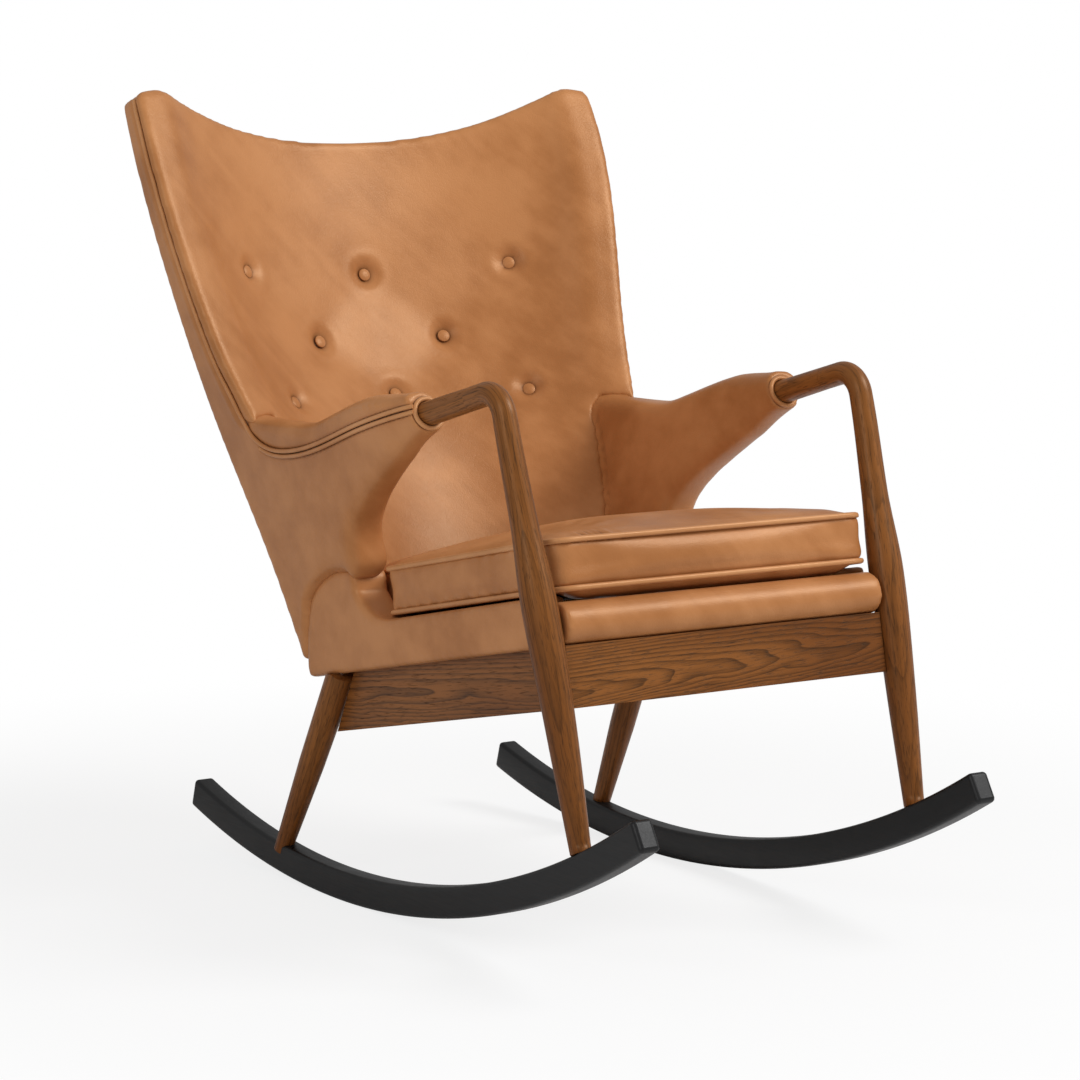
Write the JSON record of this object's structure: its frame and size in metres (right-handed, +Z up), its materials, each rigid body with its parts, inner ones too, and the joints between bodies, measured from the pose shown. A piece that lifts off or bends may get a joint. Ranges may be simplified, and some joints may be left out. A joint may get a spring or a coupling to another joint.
{
  "type": "rocking lounge chair",
  "caption": "High-backed wing lounge chair in buttoned leather on a turned wooden frame with curved rockers and a loose boxed seat cushion.",
  "frame": {"origin": "on the floor, on the centre line of the chair, where the rockers touch the floor at rest", "axes": "+X to the sitter's left, -Y to the front of the chair, +Z up"},
  "size_m": [0.732, 1.1324, 1.043],
  "materials": {
    "black_rocker": "satin",
    "deck_cloth": "matte",
    "filling": "matte",
    "frame_wood": "matte",
    "leather": "satin",
    "leather_buttons": "satin",
    "leather_piping": "satin",
    "steel": "satin",
    "walnut": "satin",
    "webbing": "matte"
  },
  "bodies": {
    "chair": {"apron_dowels": "frame_wood", "arm_bolts": "steel", "arm_frame_left": "frame_wood", "arm_frame_right": "frame_wood", "arm_pad_left": "leather", "arm_pad_right": "leather", "arm_rail_left": "walnut", "arm_rail_right": "walnut", "back_bolts": "steel", "back_bottom_rail": "frame_wood", "back_buttons": "leather_buttons", "back_middle_rail": "frame_wood", "back_top_rail": "frame_wood", "back_upright_left": "frame_wood", "back_upright_right": "frame_wood", "back_webbing": "webbing", "block_screws": "steel", "corner_blocks": "frame_wood", "front_apron": "walnut", "front_post_left": "walnut", "front_post_right": "walnut", "front_roll": "leather", "front_roll_core": "filling", "inside_back": "leather", "knee_dowels": "frame_wood", "leg_bolts": "steel", "outside_back": "leather", "rail_dowels": "frame_wood", "rear_apron": "walnut", "rear_leg_left": "walnut", "rear_leg_right": "walnut", "rocker_dowels": "frame_wood", "rocker_left": "black_rocker", "rocker_right": "black_rocker", "seat_deck": "deck_cloth", "seat_rear_rail": "frame_wood", "seat_side_cover_left": "leather", "seat_side_cover_right": "leather", "seat_side_rail_left": "frame_wood", "seat_side_rail_right": "frame_wood", "seat_webbing": "webbing", "side_apron_left": "walnut", "side_apron_right": "walnut", "side_panel_left": "leather", "side_panel_right": "leather"},
    "cushion": {"cushion_bottom_welt": "leather_piping", "cushion_core": "filling", "cushion_cover": "leather", "cushion_top_welt": "leather_piping"}
  },
  "joints": [
    {"name": "cushion_slide", "type": "slide", "parent": "chair", "child": "cushion", "axis": [0, -0.9799, 0.1994], "range_m": [0, 0.4]}
  ]
}
